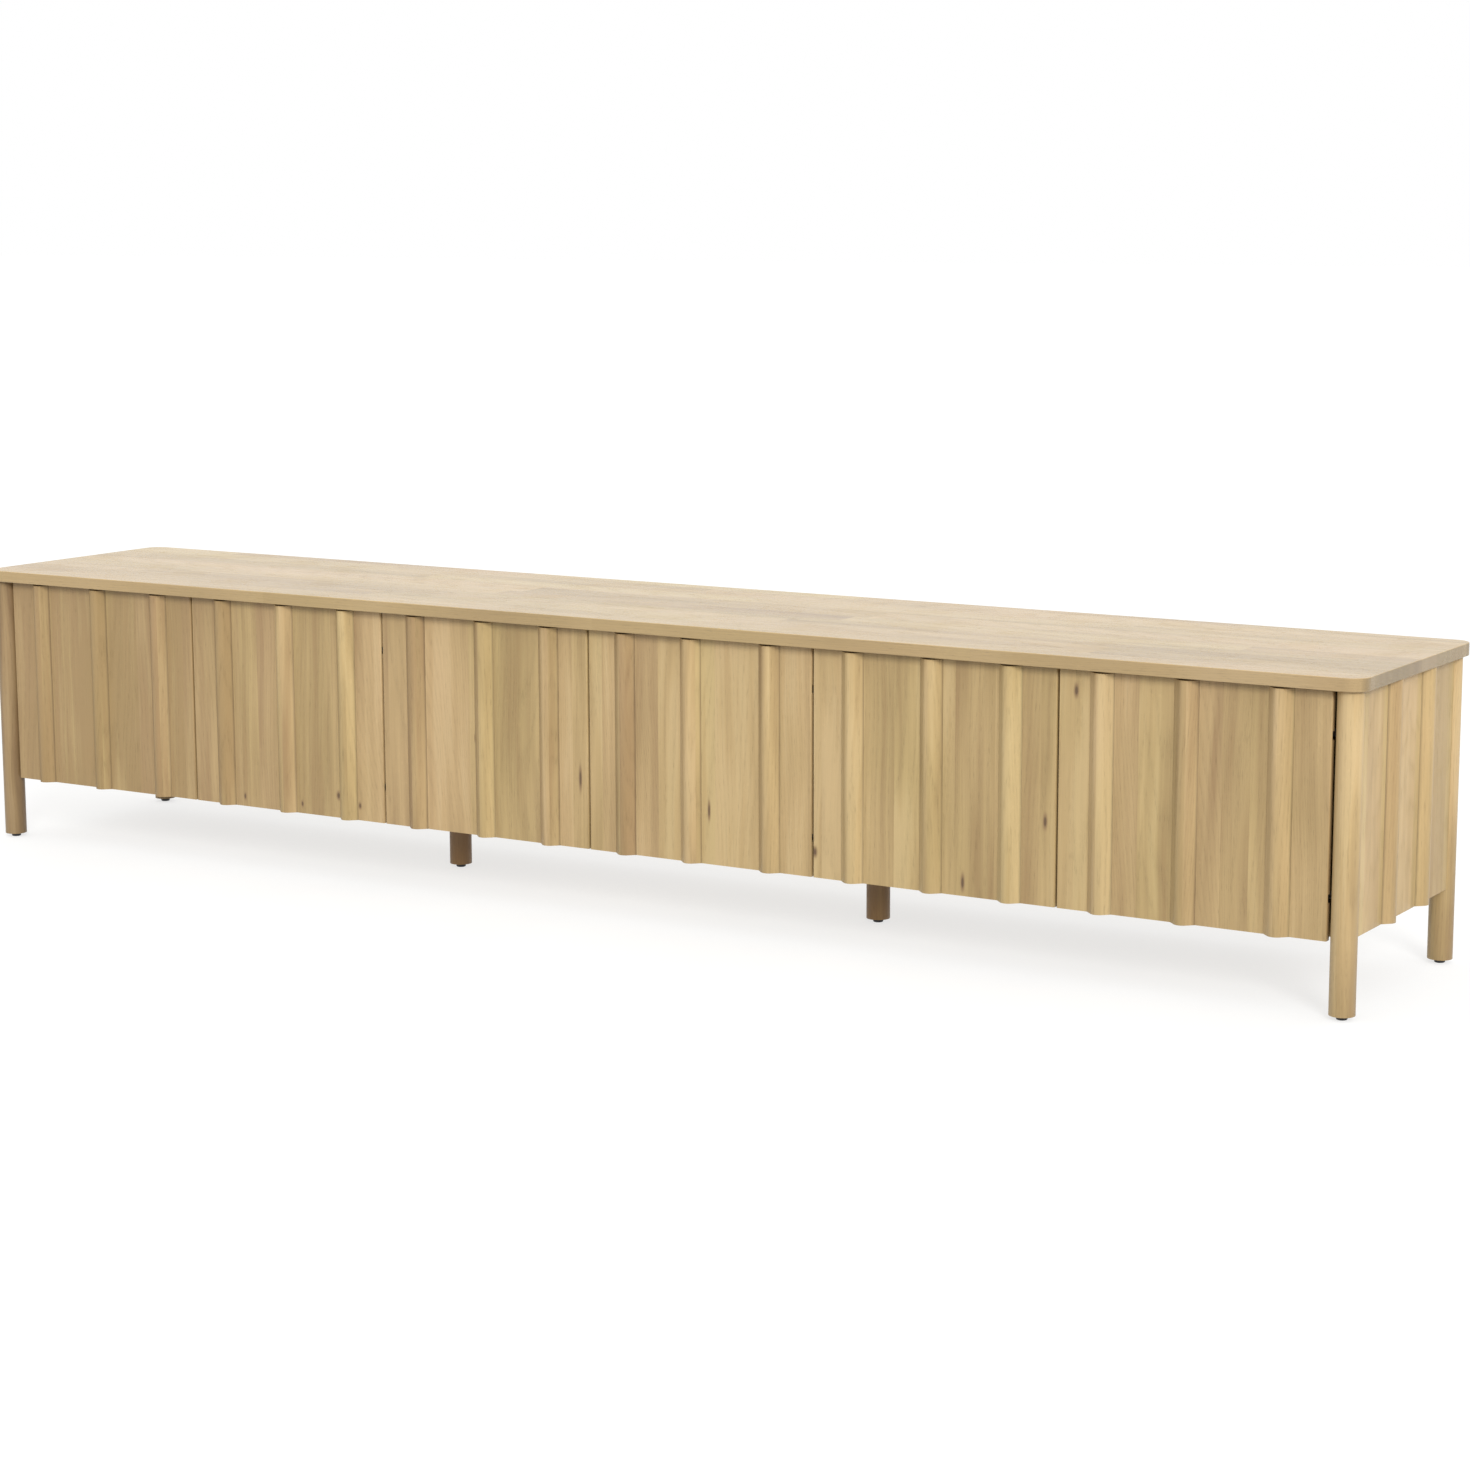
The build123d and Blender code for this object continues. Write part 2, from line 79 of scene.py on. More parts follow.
# Small knots in the door boards: x, z, radius across the grain, radius along it.
KNOTS = (
    (-0.663, 0.118, 0.0022, 0.0040),
    (-0.588, 0.130, 0.0030, 0.0045),
    (-0.546, 0.117, 0.0022, 0.0035),
    (-0.473, 0.137, 0.0034, 0.0044),
    (-0.431, 0.125, 0.0024, 0.0034),
    (-0.206, 0.251, 0.0020, 0.0050),
    (-0.015, 0.207, 0.0022, 0.0120),
    (0.387, 0.139, 0.0030, 0.0048),
    (0.210, 0.181, 0.0018, 0.0090),
    (0.623, 0.121, 0.0024, 0.0080),
    (0.685, 0.317, 0.0020, 0.0060),
    (0.748, 0.219, 0.0026, 0.0070),
    (0.792, 0.402, 0.0028, 0.0060),
)

# The camera that matches the photograph's view: angles in radians, sensor and lens in mm.
CAMERA_AT = Vector((2.6234, -3.9892, 1.0456))
CAMERA_YAW = 0.5578
CAMERA_PITCH = 0.1661
CAMERA_ROLL = -0.0030
CAMERA_SENSOR = 36.0
CAMERA_LENS = 77.7747
CAMERA_FAR = 200.0


# ---------------------------------------------------------------- node tree helper
class Tree:
    """A short way to write a material's nodes. Most methods return an output socket."""

    def __init__(self, name):
        self.material = bpy.data.materials.new(name)
        self.material.use_nodes = True
        self.nodes = self.material.node_tree.nodes
        self.links = self.material.node_tree.links
        self.nodes.clear()
        self.shader = self.nodes.new("ShaderNodeBsdfPrincipled")
        self.output = self.nodes.new("ShaderNodeOutputMaterial")
        self.links.new(self.shader.outputs["BSDF"], self.output.inputs["Surface"])

    def feed(self, socket, value):
        """Links a socket or sets a constant; None leaves the socket alone."""
        if isinstance(value, bpy.types.NodeSocket):
            self.links.new(value, socket)
        elif value is not None:
            socket.default_value = value

    def math(self, operation, a, b=None):
        node = self.nodes.new("ShaderNodeMath")
        node.operation = operation
        for socket, value in zip(node.inputs, (a, b)):
            self.feed(socket, value)
        return node.outputs[0]

    def add(self, a, b):
        return self.math("ADD", a, b)

    def sub(self, a, b):
        return self.math("SUBTRACT", a, b)

    def mul(self, a, b):
        return self.math("MULTIPLY", a, b)

    def floor(self, a):
        return self.math("FLOOR", a)

    def swing(self, value, amount):
        """Turns a number round a half into one round nought, of this size from end to end."""
        return self.mul(self.add(value, -0.5), amount)

    def vector(self, x, y, z):
        node = self.nodes.new("ShaderNodeCombineXYZ")
        for socket, value in zip(node.inputs, (x, y, z)):
            self.feed(socket, value)
        return node.outputs[0]

    def split(self, output):
        """One of the texture coordinates as three sockets named x, y and z."""
        parts = self.nodes.new("ShaderNodeSeparateXYZ")
        self.links.new(self.nodes.new("ShaderNodeTexCoord").outputs[output], parts.inputs[0])
        return dict(zip("xyz", parts.outputs))

    def place(self):
        """The point on the object, in metres."""
        return self.split("Object")

    def facing(self, axis):
        """How squarely the surface faces along an axis, from -1 to 1."""
        return self.split("Normal")[axis]

    def noise(self, where, scale=1.0, detail=2.0, rough=0.5, twist=0.0):
        node = self.nodes.new("ShaderNodeTexNoise")
        self.feed(node.inputs["Vector"], where)
        node.inputs["Scale"].default_value = scale
        node.inputs["Detail"].default_value = detail
        node.inputs["Roughness"].default_value = rough
        node.inputs["Distortion"].default_value = twist
        return node.outputs[0]

    def scatter(self, value):
        """A random number from a number."""
        node = self.nodes.new("ShaderNodeTexWhiteNoise")
        node.noise_dimensions = "1D"
        self.feed(node.inputs["W"], value)
        return node.outputs["Value"]

    def cells(self, along, size):
        """A random number for each stave of uneven width along one axis."""
        node = self.nodes.new("ShaderNodeTexVoronoi")
        node.voronoi_dimensions = "1D"
        node.inputs["Scale"].default_value = 1.0
        self.feed(node.inputs["W"], self.mul(along, 1.0 / size))
        return self.scatter(node.outputs["W"])

    def span(self, value, low, high, to_low=0.0, to_high=1.0, smooth=False):
        """A number moved from one range to another and held inside it."""
        node = self.nodes.new("ShaderNodeMapRange")
        node.interpolation_type = "SMOOTHSTEP" if smooth else "LINEAR"
        for key, setting in enumerate((value, low, high, to_low, to_high)):
            self.feed(node.inputs[key], setting)
        return node.outputs[0]

    def ramp(self, value, stops):
        """A colour ramp through (place, (r, g, b)) stops."""
        node = self.nodes.new("ShaderNodeValToRGB")
        elements = node.color_ramp.elements
        while len(elements) < len(stops):
            elements.new(0.5)
        for element, (place, colour) in zip(elements, stops):
            element.position = place
            element.color = (*colour, 1.0)
        self.feed(node.inputs[0], value)
        return node.outputs[0]

    def steps(self, value, levels):
        """A number that changes at once at each (place, level)."""
        colour = self.ramp(value, [(place, (level, level, level)) for place, level in levels])
        colour.node.color_ramp.interpolation = "CONSTANT"
        return colour

    def mix(self, amount, a, b, blend="MIX"):
        node = self.nodes.new("ShaderNodeMix")
        node.data_type = "RGBA"
        node.blend_type = blend
        self.feed(node.inputs["Factor"], amount)
        for key, value in (("A", a), ("B", b)):
            socket = next(s for s in node.inputs if s.name == key and s.type == "RGBA")
            self.feed(socket, (*value, 1.0) if isinstance(value, tuple) else value)
        return next(s for s in node.outputs if s.type == "RGBA")

    def filter(self, colour, through):
        """A colour seen through another."""
        return self.mix(1.0, colour, through, "MULTIPLY")

    def shade(self, colour, factor):
        """The colour times a number."""
        node = self.nodes.new("ShaderNodeVectorMath")
        node.operation = "SCALE"
        self.feed(node.inputs[0], colour)
        self.feed(node.inputs["Scale"], factor)
        return node.outputs[0]

    def bump(self, height, distance):
        node = self.nodes.new("ShaderNodeBump")
        node.inputs["Distance"].default_value = distance
        self.feed(node.inputs["Height"], height)
        self.feed(self.shader.inputs["Normal"], node.outputs[0])

    def finish(self, colour, rough, metal=0.0, specular=0.5):
        """Feeds the shader and returns the material."""
        self.feed(self.shader.inputs["Base Color"], colour)
        self.feed(self.shader.inputs["Roughness"], rough)
        self.shader.inputs["Metallic"].default_value = metal
        self.shader.inputs["Specular IOR Level"].default_value = specular
        return self.material


# ---------------------------------------------------------------- oak
# Linear colours of the lacquered wood, from the palest board to the brownest.
OAK_TONES = (
    (0.00, (0.512, 0.376, 0.186)),
    (0.25, (0.468, 0.334, 0.158)),
    (0.50, (0.418, 0.295, 0.138)),
    (0.75, (0.371, 0.257, 0.119)),
    (1.00, (0.324, 0.215, 0.099)),
)
ROSY = (1.020, 0.988, 1.060)
OLIVE = (0.982, 1.010, 0.945)
KNOT_DARK = (0.125, 0.075, 0.038)
KNOT_RIM = (0.275, 0.180, 0.085)

# A layer of figure is noise: how fine it is across the grain and how long along it, per metre,
# its detail and its roughness.
Layer = namedtuple("Layer", "fine long detail rough", defaults=(0.5,))
WANDER = Layer(7.0, 3.6, 1.0)
DRIFT = Layer(3.0, 1.6, 1.0)
WOBBLE = Layer(90.0, 7.0, 2.0)
PORE = Layer(1500.0, 60.0, 1.0)
FIBRE = Layer(420.0, 5.0, 3.0, 0.6)
STREAK = Layer(75.0, 3.0, 3.0, 0.55)
BAND = Layer(24.0, 2.2, 1.0)
CLOUD = Layer(9.0, 3.2, 2.0)
RAY = Layer(230.0, 120.0, 2.0)

# Where a noise value starts to show and shows in full, for each feature that is cut from noise.
PORE_SHOWS = (0.56, 0.70)
RAY_SHOWS = (0.58, 0.72)
RAY_PATCH_SHOWS = (0.50, 0.66)
CLOUD_SHOWS = (0.30, 0.70)
WORN_SHOWS = (0.48, 0.66)
PORE_ELSEWHERE = 0.25
RAY_TWIST = 0.6
RAY_PATCH_FINE = 26.0
RAY_PATCH_LONG = 0.3

# How squarely a face points one way to count as a cut end, as a wide face, or as a rib's flank.
END_FACING = (0.75, 0.95)
WIDE_FACING = (0.30, 0.70)
FLANK_FACING = (0.10, 0.60)

# How far apart in the noise one stave's piece of it lies from the next stave's.
STREAK_SHIFT = 20.0
BAND_SHIFT = 30.0
DRIFT_SHIFT = 30.0
YEARS_SHIFT = 20.0

# How far the grain wanders, where the pith lies behind the face, and how wide the rings are.
GRAIN_WANDER = 0.022
PITH_ASIDE = 0.16
PITH_DRIFT = 0.05
PITH_BEHIND = 0.030
PITH_VARIES = 0.10
PITH_LEAN = 0.10
RING_WIDE = 0.0026
RING_VARIES = 0.0022
RING_WOBBLE = 0.9
RING_YEARS = 5.0
YEARS_FINE = 55.0
EARLY_WOOD_ENDS = 0.42
LATE_WOOD_STARTS = 0.80

# A knot's middle and rim are where its field is above these, and it pushes the rings aside.
KNOT_FIT = (0.75, 0.60)
KNOT_SOFT = 0.25
KNOT_RIM_FIELD = (0.28, 1.2)
KNOT_DARK_FIELD = (1.0, 2.6)
KNOT_PUSH = 0.0022
KNOT_PUSH_FIELD = 1.6

# How much each layer changes the tone, and then the brightness.
STREAK_TONE = 1.9
BAND_TONE = 1.7
CLOUD_TONE = 1.2
CHANCE_HUE = 0.55
CLOUD_HUE = 0.45
FIBRE_LIGHT = 0.16
STREAK_LIGHT = 0.14
RAY_LIGHT = 0.06
RING_DARK = 0.045
PORE_DARK = 0.18
END_LIGHT = 0.74
END_DOTS = 0.5
END_DOTS_FINE = 1400.0

# The painted shade in the crease at the foot of a rib: its width, how dark it is painted all along, and
# how much darker on the flank that faces foot_side.
CREASE_SHADE_WIDE = 0.0026
CREASE_SHADE_ALL = 0.06
CREASE_SHADE_FLANK = 0.40

# The lacquer: how rough it is over fibres, pores and worn patches, and the depth of its relief.
FIBRE_ROUGH = 0.10
PORE_ROUGH = 0.18
WORN_ROUGH = 0.05
WORN_FINE = 11.0
RELIEF_DEEP = 0.00012
FIBRE_RELIEF = 0.35
RING_RELIEF = 0.30


class Oak(Tree):
    """Oak with its grain along one axis, and the numbers that every part of its figure needs.

    The plain numbers in cut() only set one random draw apart from the next.
    """

    def __init__(self, name, grain, across):
        super().__init__(name)
        self.at = self.place()
        self.grain_axis = grain
        self.across_axis = across
        self.depth_axis = next(axis for axis in "xyz" if axis not in (grain, across))
        self.along = self.at[grain]
        self.across = self.at[across]
        self.deep = self.at[self.depth_axis]
        wander = self.layer(self.across, WANDER)
        self.wavy = self.add(self.across, self.swing(wander, GRAIN_WANDER))

    def layer(self, side, layer, twist=0.0):
        """Noise stretched along the grain."""
        fine, long = layer.fine, layer.long
        where = self.vector(self.mul(side, fine), self.mul(self.deep, fine), self.mul(self.along, long))
        return self.noise(where, 1.0, layer.detail, layer.rough, twist)

    def stave_layer(self, layer, shift):
        """Noise stretched along the grain, which starts afresh in each stave."""
        fine = self.mul(self.wavy, layer.fine)
        where = self.vector(fine, self.mul(self.chance, shift), self.mul(self.along, layer.long))
        return self.noise(where, 1.0, layer.detail, layer.rough)

    def cut(self, board_wide, seed, stave_wide, stave_long):
        """Cuts the wood into boards and staves, and gives each its random numbers."""
        board_at = self.floor(self.add(self.mul(self.across, 1.0 / board_wide), 0.5))
        self.board = self.scatter(self.add(board_at, seed * 17.0 + 3.7))
        self.stave = self.cells(self.add(self.across, self.mul(self.board, 40.0)), stave_wide)
        if stave_long:
            shift = self.mul(self.stave, 7.0)
            piece_at = self.floor(self.add(self.mul(self.along, 1.0 / stave_long), shift))
            self.stave = self.scatter(self.add(self.mul(self.stave, 91.0), piece_at))
        self.chance = self.scatter(self.add(self.mul(self.stave, 53.0), self.mul(self.board, 17.0)))

    def knot_field(self, knots):
        """Highest in the middle of each knot and near nought away from them."""
        field = 0.0
        for x, z, radius_across, radius_along in knots:
            aside = self.mul(self.add(self.across, -x), KNOT_FIT[0] / radius_across)
            up = self.mul(self.add(self.along, -z), KNOT_FIT[1] / radius_along)
            away = self.add(self.mul(aside, aside), self.mul(up, up))
            field = self.math("MAXIMUM", field, self.math("DIVIDE", 1.0, self.add(away, KNOT_SOFT)))
        return field

    def pith_distance(self, board_wide):
        """How far the point is from the pith of the stave's own tree, which drifts and leans."""
        drift_at = self.vector(
            self.mul(self.chance, DRIFT_SHIFT),
            self.mul(self.along, DRIFT.long),
            self.mul(self.across, DRIFT.fine),
        )
        drift = self.noise(drift_at, 1.0, DRIFT.detail)
        pith_aside = self.add(self.swing(self.stave, PITH_ASIDE), self.swing(drift, PITH_DRIFT))
        pith_behind = self.add(PITH_BEHIND, self.mul(self.board, PITH_VARIES))
        lean = self.mul(self.along, self.swing(self.chance, PITH_LEAN))
        board_edge = self.mul(self.floor(self.mul(self.across, 1.0 / board_wide)), board_wide)
        aside = self.add(self.sub(self.wavy, board_edge), pith_aside)
        behind = self.add(self.deep, self.add(pith_behind, lean))
        return self.math("SQRT", self.add(self.mul(aside, aside), self.mul(behind, behind)))

    def growth_rings(self, radius):
        """Highest on the ring lines, which crowd together in some years."""
        wobble = self.layer(self.wavy, WOBBLE)
        years_at = self.vector(self.mul(radius, YEARS_FINE), self.mul(self.chance, YEARS_SHIFT), 0.0)
        years = self.noise(years_at)
        ring_wide = self.add(RING_WIDE, self.mul(self.chance, RING_VARIES))
        shift = self.add(self.mul(wobble, RING_WOBBLE), self.mul(years, RING_YEARS))
        ring = self.math("FRACT", self.add(self.math("DIVIDE", radius, ring_wide), shift))
        early = self.span(ring, 0.0, EARLY_WOOD_ENDS, 1.0, 0.0, smooth=True)
        late = self.span(ring, LATE_WOOD_STARTS, 1.0)
        return self.math("MAXIMUM", early, late)

    def open_pores(self, rings):
        """Short dark pores, thickest on the ring lines."""
        pore = self.layer(self.wavy, PORE)
        crowd = self.add(PORE_ELSEWHERE, self.mul(rings, 1.0 - PORE_ELSEWHERE))
        return self.mul(self.span(pore, *PORE_SHOWS), crowd)

    def ray_flecks(self):
        """Pale ripples across the grain, in some patches."""
        ripple = self.span(self.layer(self.across, RAY, RAY_TWIST), *RAY_SHOWS)
        patch_at = self.vector(self.across, self.deep, self.mul(self.along, RAY_PATCH_LONG))
        patch = self.span(self.noise(patch_at, RAY_PATCH_FINE, 1.0), *RAY_PATCH_SHOWS)
        return self.mul(ripple, patch)

    def cut_ends(self, colour):
        """Cut ends are darker and show the pores as dots."""
        end = self.span(self.math("ABSOLUTE", self.facing(self.grain_axis)), *END_FACING)
        dots = self.noise(self.vector(self.across, self.deep, 0.0), END_DOTS_FINE, 2.0, 0.6)
        light = self.add(END_LIGHT, self.swing(dots, END_DOTS))
        return self.mix(end, colour, self.shade(colour, light))

    def shade_narrow_faces(self, colour, light):
        """Paints the narrow faces along the edges darker than the wide ones: painted shade beside the lit
        wide face.
        """
        flat = self.span(self.math("ABSOLUTE", self.facing(self.depth_axis)), *WIDE_FACING)
        return self.shade(colour, self.add(light, self.mul(flat, 1.0 - light)))

    def paint_crease_shade(self, colour, foot, foot_side):
        """Paints shade into the crease where the rib meets the flat face, darkest on the flank that faces
        foot_side.
        """
        above = self.sub(self.math("ABSOLUTE", self.deep), foot)
        near = self.span(above, 0.0, CREASE_SHADE_WIDE, 1.0, 0.0)
        flank = self.span(self.mul(self.facing(self.across_axis), foot_side), *FLANK_FACING)
        painted_shade = self.mul(near, self.add(CREASE_SHADE_ALL, self.mul(flank, CREASE_SHADE_FLANK)))
        return self.shade(colour, self.sub(1.0, painted_shade))

    def lacquer(self, rough, fibre, pores, rings):
        """The lacquer's roughness, duller where hands and cloths rub it, and its relief."""
        everywhere = self.vector(self.at["x"], self.at["y"], self.at["z"])
        worn = self.span(self.noise(everywhere, WORN_FINE, 3.0, 0.6), *WORN_SHOWS)
        roughness = self.add(rough - FIBRE_ROUGH / 2, self.mul(fibre, FIBRE_ROUGH))
        roughness = self.add(roughness, self.mul(pores, PORE_ROUGH))
        roughness = self.add(roughness, self.mul(worn, WORN_ROUGH))
        relief = self.sub(self.mul(fibre, FIBRE_RELIEF), pores)
        self.bump(self.sub(relief, self.mul(rings, RING_RELIEF)), RELIEF_DEEP)
        return roughness


def oak(name, grain="z", across="x", board=DOOR_BOARD, seed=0.0, reach=None, tones=None, tone=0.5,
        spread=0.5, stave=0.055, stave_long=None, stave_spread=0.25, figure=1.0, gain=1.0,
        stain=None, edge_shade=None, rough=0.42, foot=None, foot_side=1, knots=()):
    """Lacquered oak with its grain along one axis, cut into boards and narrower staves.

    board, stave and stave_long are sizes in metres.
    tones gives each board's tone by its place in reach; without it, boards vary by spread about
    tone. Staves vary by stave_spread about their board. figure is how strong the streaks are.
    gain is the brightness, stain a colour over it, and edge_shade the brightness of the narrow faces,
    which is painted shade.
    foot is how far out the faces lie that the piece meets; there a crease of painted shade is laid,
    darkest on its foot_side.
    """
    t = Oak(name, grain, across)
    t.cut(board, seed, stave, stave_long)
    knot = t.knot_field(knots)
    radius = t.pith_distance(board)
    if knots:
        push = t.math("MINIMUM", knot, KNOT_PUSH_FIELD)
        radius = t.add(radius, t.mul(push, KNOT_PUSH))
    rings = t.growth_rings(radius)
    pores = t.open_pores(rings)
    fibre = t.layer(t.wavy, FIBRE)
    streak = t.stave_layer(STREAK, STREAK_SHIFT)
    band = t.stave_layer(BAND, BAND_SHIFT)
    cloud = t.layer(t.across, CLOUD)

    if tones:
        tint = t.steps(t.span(t.across, *reach), tones)
    else:
        tint = t.add(t.mul(t.board, spread), tone - spread / 2)
    tint = t.add(tint, t.swing(t.stave, stave_spread))
    tint = t.add(tint, t.swing(streak, STREAK_TONE * figure))
    tint = t.add(tint, t.swing(band, BAND_TONE * figure))
    tint = t.add(tint, t.swing(cloud, CLOUD_TONE * figure))
    hue = t.add(t.mul(t.chance, CHANCE_HUE), t.mul(t.span(cloud, *CLOUD_SHOWS), CLOUD_HUE))
    colour = t.filter(t.ramp(tint, OAK_TONES), t.mix(hue, ROSY, OLIVE))
    if stain:
        colour = t.filter(colour, stain)

    light = t.add(1.0, t.swing(fibre, FIBRE_LIGHT))
    light = t.add(light, t.swing(streak, STREAK_LIGHT))
    light = t.sub(light, t.mul(rings, RING_DARK))
    light = t.sub(light, t.mul(pores, PORE_DARK))
    light = t.add(light, t.mul(t.ray_flecks(), RAY_LIGHT))
    colour = t.shade(colour, t.mul(light, gain))

    # Painted shade on the narrow faces, so the wide face reads lighter as the lit one.
    if edge_shade:
        colour = t.shade_narrow_faces(colour, edge_shade)
    colour = t.cut_ends(colour)
    # Painted shade in the crease where a rib meets the flat face.
    if foot:
        colour = t.paint_crease_shade(colour, foot, foot_side)
    if knots:
        colour = t.mix(t.span(knot, *KNOT_RIM_FIELD, smooth=True), colour, KNOT_RIM)
        colour = t.mix(t.span(knot, *KNOT_DARK_FIELD, smooth=True), colour, KNOT_DARK)
    return t.finish(colour, t.lacquer(rough, fibre, pores, rings))


# ---------------------------------------------------------------- metal and plastic
DRAWN_FINE = 2600.0
DRAWN_LONG = 60.0
DRAWN_DEEP = 0.00002
DRAWN_LIGHT = 0.12
DRAWN_ROUGH = 0.10
STAIN_FINE = 90.0
STAIN_LIGHT = 0.10
STAIN_ROUGH = 0.14
DARKEST_METAL = 0.90
MOULD_FINE = 2200.0
MOULD_DEEP = 0.00003
MOULD_ROUGH = 0.16
SCUFF_FINE = 160.0
SCUFF_SHOWS = (0.52, 0.75)
SCUFF_STRENGTH = 0.5


def metal(name, colour, rough, along="z"):
    """Plated metal with fine drawn lines and faint stains."""
    t = Tree(name)
    at = t.place()
    fine = {axis: DRAWN_LONG if axis == along else DRAWN_FINE for axis in "xyz"}
    lines = t.noise(t.vector(*(t.mul(at[axis], fine[axis]) for axis in "xyz")))
    stain = t.noise(t.vector(at["x"], at["y"], at["z"]), STAIN_FINE, 3.0)
    light = t.add(t.add(DARKEST_METAL, t.mul(lines, DRAWN_LIGHT)), t.mul(stain, STAIN_LIGHT))
    roughness = t.add(t.mul(stain, STAIN_ROUGH), t.add(rough, t.mul(lines, DRAWN_ROUGH)))
    t.bump(lines, DRAWN_DEEP)
    return t.finish(t.shade(colour, light), roughness, metal=1.0)


def plastic(name, colour, worn, rough):
    """Moulded plastic with a fine grain and scuffs."""
    t = Tree(name)
    at = t.place()
    where = t.vector(at["x"], at["y"], at["z"])
    mould = t.noise(where, MOULD_FINE)
    scuff = t.span(t.noise(where, SCUFF_FINE, 4.0, 0.7), *SCUFF_SHOWS)
    t.bump(mould, MOULD_DEEP)
    roughness = t.add(rough, t.mul(mould, MOULD_ROUGH))
    return t.finish(t.mix(t.mul(scuff, SCUFF_STRENGTH), colour, worn), roughness)


# ---------------------------------------------------------------- dressing the CAD nodes
EASED_ANGLE = math.radians(35.0)
WELD_REACH = 0.00001
BOARD_EASE = 0.0007
LEG_EASE = 0.0008
FINE_EASE = 0.0006
# Tints for the left and middle legs: partly a browner tone, partly the colour of painted shade.
BROWN_TONE_AND_SHADE = (1.03, 0.98, 0.97)
RED_BROWN_TONE_AND_SHADE = (1.08, 0.93, 0.80)


def named(start, end=""):
    return [name for name in sorted(NODES) if name.startswith(start) and name.endswith(end)]


def dress(material, *names):
    for name in names:
        mesh = NODES[name].data
        mesh.materials.clear()
        mesh.materials.append(material)


def soften(width, *names):
    """Eases the sharp edges of nodes a little, as a hand-sanded piece has them."""
    for name in names:
        weld = NODES[name].modifiers.new("weld", "WELD")
        weld.merge_threshold = WELD_REACH
        bevel = NODES[name].modifiers.new("ease", "BEVEL")
        bevel.width = width
        bevel.segments = 2
        bevel.limit_method = "ANGLE"
        bevel.angle_limit = EASED_ANGLE
        bevel.harden_normals = True


def dress_doors():
    for number, (flats, ribs) in enumerate(DOOR_TONES, 1):
        left = (number - 1 - len(DOOR_TONES) / 2) * DOOR_PITCH
        right = left + DOOR_PITCH
        boards = oak(
            f"oak_door_{number}_boards", seed=number, reach=(left, right), figure=0.85,
            tones=tuple(zip(FLAT_STARTS, flats)), knots=[knot for knot in KNOTS if left < knot[0] < right],
        )
        # The ribs get a crease of painted shade along their foot.
        rounds = oak(
            f"oak_door_{number}_ribs", seed=number + 0.5, reach=(left, right), stave=RIB_STAVE, rough=0.50,
            tones=tuple(zip(RIB_STARTS, ribs)), foot=DOOR_FACE,
        )
        dress(boards, f"door_{number}_boards")
        dress(rounds, f"door_{number}_ribs")


def dress_sides():
    # The sides' gain above one is painted light: they are painted brighter than the doors, as if lit more
    # from the right.
    boards = oak("oak_side_boards", across="y", board=SIDE_BOARD, reach=SIDE_REACH, tones=SIDE_FLATS,
                 gain=1.15, figure=0.7)
    # The side ribs get a crease of painted shade along their front foot.
    ribs = oak("oak_side_ribs", across="y", board=SIDE_BOARD, seed=2.0, reach=SIDE_REACH,
               tones=SIDE_RIBS, gain=1.10, figure=0.6, stave=RIB_STAVE, foot=SIDE_FACE, foot_side=-1)
    dress(boards, *named("side_boards"))
    dress(ribs, *named("side_ribs"))


def dress_top():
    # The top's narrow edges get painted shade, so its wide face reads as lit from above.
    top = oak("oak_top", grain="x", across="y", board=TOP_BOARD, seed=4.0, tone=0.30, spread=0.3,
              stave=0.060, stave_long=0.62, stave_spread=0.5, figure=0.6, gain=1.06, edge_shade=0.82,
              rough=0.25)
    dress(top, "top_panel")


def leg_oak(name, tone, gain, figure=1.0, stain=None):
    """Oak for a leg, which is one stave of one board."""
    return oak(name, board=LEG_BOARD, stave=LEG_STAVE, spread=0.1, tone=tone, gain=gain,
               figure=figure, stain=stain)


def dress_legs():
    """The left and middle legs are darker, browner copies of the leg oak: partly a browner tone, partly
    painted shade for the shade they stand in under the cabinet and away from the key light.
    """
    right = leg_oak("oak_leg_right", tone=0.42, gain=1.05, figure=1.3)
    # The lower gain on these legs is painted shade.
    front_left = leg_oak("oak_leg_front_left", tone=0.86, gain=0.63, figure=1.5, stain=BROWN_TONE_AND_SHADE)
    back_left = leg_oak("oak_leg_back_left", tone=0.80, gain=0.80, figure=1.3, stain=BROWN_TONE_AND_SHADE)
    middle = leg_oak("oak_leg_middle", tone=0.95, gain=0.70, stain=RED_BROWN_TONE_AND_SHADE)
    dress(right, "leg_front_right", "leg_back_right")
    dress(front_left, "leg_front_left")
    dress(back_left, "leg_back_left")
    dress(middle, *named("leg_middle"))


def dress_inside():
    upright = oak("oak_carcass_upright", across="y", board=SHELF_BOARD, seed=5.0, tone=0.35, stave=0.09)
    level = oak("oak_carcass_flat", grain="x", across="y", board=SHELF_BOARD, seed=6.0, tone=0.35,
                stave=0.09)
    back = oak("oak_back", grain="x", across="z", board=BACK_BOARD, seed=7.0, stave=0.12)
    dowel = oak("beech_dowel", tone=0.15, spread=0.1, stave=RIB_STAVE)
    shelves = ("shelf_left", "shelf_centre", "shelf_right")
    dress(upright, *named("carcass_side"), *named("partition"))
    dress(level, *shelves, "bottom_panel", *named("top_rail"))
    dress(back, *named("back_panel"))
    dress(dowel, "leg_dowels")


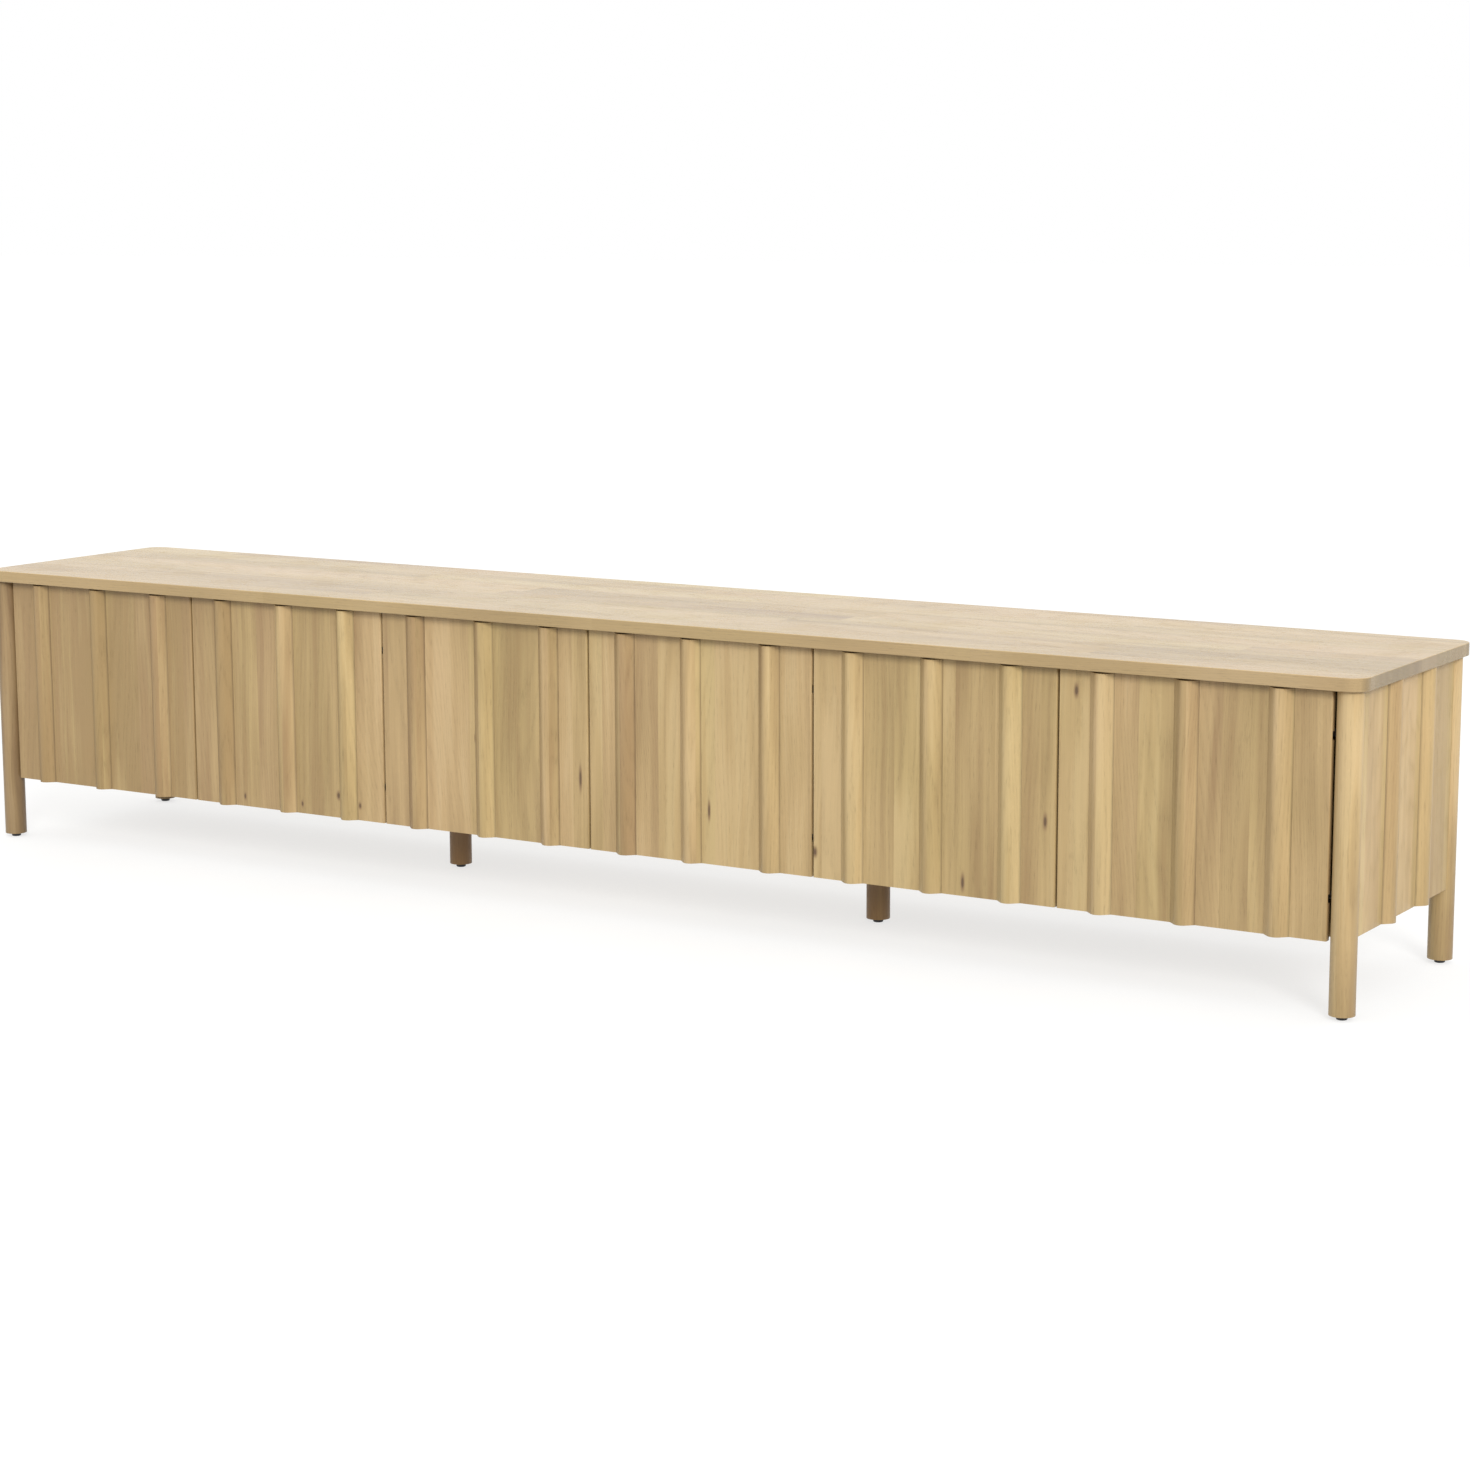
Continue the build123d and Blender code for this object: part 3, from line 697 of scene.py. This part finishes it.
def dress_fittings():
    zinc = metal("zinc_plate", colour=(0.53, 0.53, 0.54), rough=0.24)
    steel = metal("bright_steel", colour=(0.60, 0.59, 0.57), rough=0.14, along="x")
    latch = plastic("latch_plastic", colour=(0.115, 0.105, 0.095), worn=(0.21, 0.20, 0.19), rough=0.42)
    glide = plastic("glide_plastic", colour=(0.012, 0.012, 0.012), worn=(0.10, 0.10, 0.10), rough=0.40)
    dress(zinc, "hinge_arms", *named("door_", "hinge_blocks"))
    dress(steel, "hinge_screws", "shelf_pins", *named("door_", "hinge_pins"))
    dress(latch, "latch_housings", *named("latch_plunger"))
    dress(glide, "leg_glides")


def ease_edges():
    soften(BOARD_EASE, *named("door_", "_boards"), *named("side_boards"))
    soften(FINE_EASE, *named("door_", "_ribs"), *named("side_ribs"))
    soften(LEG_EASE, *named("leg_front"), *named("leg_back"), *named("leg_middle"))
    soften(FINE_EASE, *named("carcass_side"), *named("partition"), "bottom_panel", *named("back_panel"))


# ---------------------------------------------------------------- floor, light, camera
FLOOR_SIDE = 90.0
FLOOR_SPECKS = 3.0
FLOOR_TONES = ((0.3, (0.30, 0.30, 0.295)), (0.7, (0.32, 0.32, 0.315)))
FLOOR_ROUGH = 0.9
FLOOR_GLOW = 0.69
ROOM_COLOUR = (1.0, 1.0, 1.0, 1.0)
ROOM_WHITE = 1.0
KEY_WAY = Vector((0.62, -0.68, 0.40))
KEY_POWER = 2.25
KEY_ANGLE = math.radians(20.0)


def floor_material():
    """A pale sheet that glows where it is seen, so its edge never shows.

    The glow is left out of diffuse light, so it brightens nothing.
    """
    t = Tree("floor_white")
    at = t.place()
    speck = t.noise(t.vector(at["x"], at["y"], 0.0), FLOOR_SPECKS, 3.0)
    t.finish(t.ramp(speck, FLOOR_TONES), FLOOR_ROUGH, specular=0.0)
    sheet = t.shader.outputs["BSDF"]
    glow = t.nodes.new("ShaderNodeEmission")
    glow.inputs["Strength"].default_value = FLOOR_GLOW
    glowing = t.nodes.new("ShaderNodeAddShader")
    either = t.nodes.new("ShaderNodeMixShader")
    rays = t.nodes.new("ShaderNodeLightPath")
    t.links.new(sheet, glowing.inputs[0])
    t.links.new(glow.outputs[0], glowing.inputs[1])
    t.links.new(rays.outputs["Is Diffuse Ray"], either.inputs["Fac"])
    t.links.new(glowing.outputs[0], either.inputs[1])
    t.links.new(sheet, either.inputs[2])
    t.links.new(either.outputs[0], t.output.inputs["Surface"])
    return t.material


def make_floor():
    mesh = bpy.data.meshes.new("floor")
    half = FLOOR_SIDE / 2
    corners = [(-half, -half, 0), (half, -half, 0), (half, half, 0), (-half, half, 0)]
    mesh.from_pydata(corners, [], [(0, 1, 2, 3)])
    mesh.materials.append(floor_material())
    floor = bpy.data.objects.new("floor", mesh)
    bpy.context.scene.collection.objects.link(floor)


def make_room():
    world = bpy.data.worlds.new("studio")
    bpy.context.scene.world = world
    world.use_nodes = True
    room = world.node_tree.nodes["Background"]
    room.inputs["Color"].default_value = ROOM_COLOUR
    room.inputs["Strength"].default_value = ROOM_WHITE


def make_key_light():
    """One soft light from the front right, which the lacquer doesn't mirror."""
    data = bpy.data.lights.new("key", "SUN")
    data.energy = KEY_POWER
    data.angle = KEY_ANGLE
    lamp = bpy.data.objects.new("key", data)
    lamp.visible_glossy = False
    lamp.rotation_mode = "QUATERNION"
    lamp.rotation_quaternion = KEY_WAY.to_track_quat("Z", "Y")
    bpy.context.scene.collection.objects.link(lamp)


def make_camera():
    data = bpy.data.cameras.new("camera")
    data.sensor_width = CAMERA_SENSOR
    data.lens = CAMERA_LENS
    data.clip_end = CAMERA_FAR
    camera = bpy.data.objects.new("camera", data)
    bpy.context.scene.collection.objects.link(camera)
    forward = Vector((
        -math.sin(CAMERA_YAW) * math.cos(CAMERA_PITCH),
        math.cos(CAMERA_YAW) * math.cos(CAMERA_PITCH),
        -math.sin(CAMERA_PITCH),
    ))
    right = Vector((math.cos(CAMERA_YAW), math.sin(CAMERA_YAW), 0.0))
    up = right.cross(forward)
    rolled_right = math.cos(CAMERA_ROLL) * right + math.sin(CAMERA_ROLL) * up
    rolled_up = math.cos(CAMERA_ROLL) * up - math.sin(CAMERA_ROLL) * right
    turn = Matrix((rolled_right, rolled_up, -forward)).transposed().to_4x4()
    camera.matrix_world = Matrix.Translation(CAMERA_AT) @ turn
    bpy.context.scene.camera = camera


dress_doors()
dress_sides()
dress_top()
dress_legs()
dress_inside()
dress_fittings()
ease_edges()
make_floor()
make_room()
make_key_light()
make_camera()
bpy.context.scene.view_settings.view_transform = "Standard"
